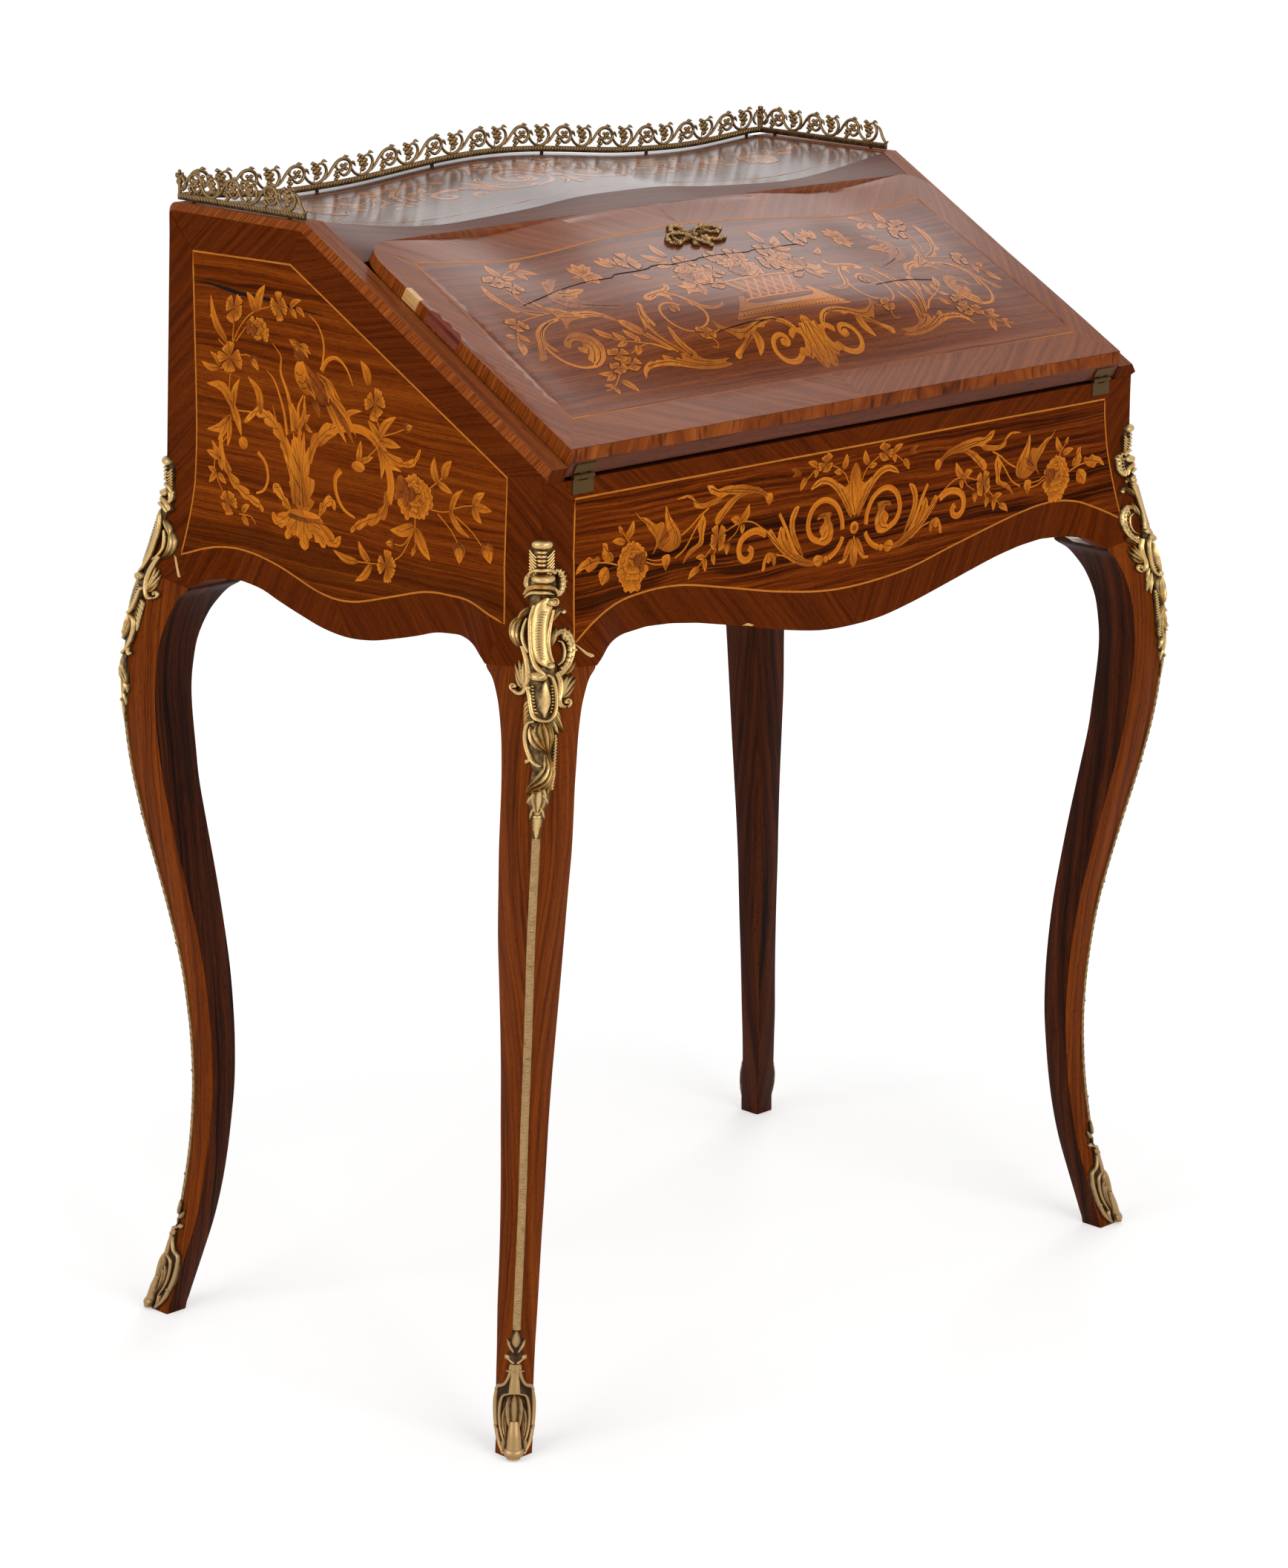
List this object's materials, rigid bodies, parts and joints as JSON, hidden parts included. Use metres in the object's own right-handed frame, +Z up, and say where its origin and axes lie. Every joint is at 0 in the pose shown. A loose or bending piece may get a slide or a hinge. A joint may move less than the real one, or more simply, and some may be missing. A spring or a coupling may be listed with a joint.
{
  "type": "slant-front desk",
  "caption": "Slant-front writing desk with cabriole legs, hinged fall, fitted interior drawers, sliding well lid, brass mounts and a pierced brass gallery.",
  "frame": {"origin": "centre of the bounding box at floor level, between the feet", "axes": "+Z up, the fall faces -Y, +X to the right seen from the front"},
  "size_m": [0.7728, 0.4986, 0.9635],
  "materials": {
    "rosewood": "polished",
    "carcase_wood": "plain",
    "brass": "aged gilt",
    "iron": "dark",
    "leather": "matte"
  },
  "bodies": {
    "case": {"left_side_panel": "rosewood", "right_side_panel": "rosewood", "front_apron": "rosewood", "back_panel": "carcase_wood", "top_panel": "rosewood", "slope_rail_left": "rosewood", "slope_rail_right": "rosewood", "lock_rail_block": "rosewood", "case_bottom": "carcase_wood", "leg_front_left": "rosewood", "leg_front_right": "rosewood", "leg_rear_left": "rosewood", "leg_rear_right": "rosewood", "chute_front_left": "brass", "chute_front_right": "brass", "chute_rear_left": "brass", "chute_rear_right": "brass", "leg_strip_front_left": "brass", "leg_strip_front_right": "brass", "leg_strip_rear_left": "brass", "leg_strip_rear_right": "brass", "sabot_front_left": "brass", "sabot_front_right": "brass", "sabot_rear_left": "brass", "sabot_rear_right": "brass", "lock_keeper": "iron", "hinge_case_leaf_left": "brass", "hinge_case_leaf_right": "brass", "hinge_pin_left": "iron", "hinge_pin_right": "iron", "gallery_back": "brass", "gallery_left": "brass", "gallery_right": "brass", "writing_bed": "carcase_wood", "lid_runner_left": "carcase_wood", "lid_runner_right": "carcase_wood", "drawer_deck": "rosewood", "drawer_divider_left": "rosewood", "drawer_divider_right": "rosewood", "pigeonhole_shelf": "rosewood", "pigeonhole_divider_left": "rosewood", "pigeonhole_divider_right": "rosewood"},
    "fall": {"fall_front": "rosewood", "fall_writing_leather": "leather", "escutcheon": "brass", "lock_case": "iron", "hinge_fall_leaf_left": "brass", "hinge_fall_leaf_right": "brass"},
    "bolt": {"lock_bolt": "brass"},
    "lid": {"well_lid": "rosewood"},
    "drawer_left": {"drawer_front_left": "rosewood", "drawer_tray_left": "carcase_wood", "drawer_knob_left": "brass"},
    "drawer_middle": {"drawer_front_middle": "rosewood", "drawer_tray_middle": "carcase_wood", "drawer_knob_middle": "brass"},
    "drawer_right": {"drawer_front_right": "rosewood", "drawer_tray_right": "carcase_wood", "drawer_knob_right": "brass"}
  },
  "joints": [
    {"name": "fall_hinge", "type": "hinge", "parent": "case", "child": "fall", "pos_m": [0, -0.215, 0.7706], "axis": [1, 0, 0], "range_deg": [0, 150.5]},
    {"name": "bolt_slide", "type": "slide", "parent": "fall", "child": "bolt", "axis": [0, 0.8704, 0.4924], "range_m": [0, 0.007]},
    {"name": "lid_slide", "type": "slide", "parent": "case", "child": "lid", "axis": [0, 1, 0], "range_m": [0, 0.15]},
    {"name": "drawer_left_slide", "type": "slide", "parent": "case", "child": "drawer_left", "axis": [0, -1, 0], "range_m": [0, 0.11]},
    {"name": "drawer_middle_slide", "type": "slide", "parent": "case", "child": "drawer_middle", "axis": [0, -1, 0], "range_m": [0, 0.11]},
    {"name": "drawer_right_slide", "type": "slide", "parent": "case", "child": "drawer_right", "axis": [0, -1, 0], "range_m": [0, 0.11]}
  ]
}
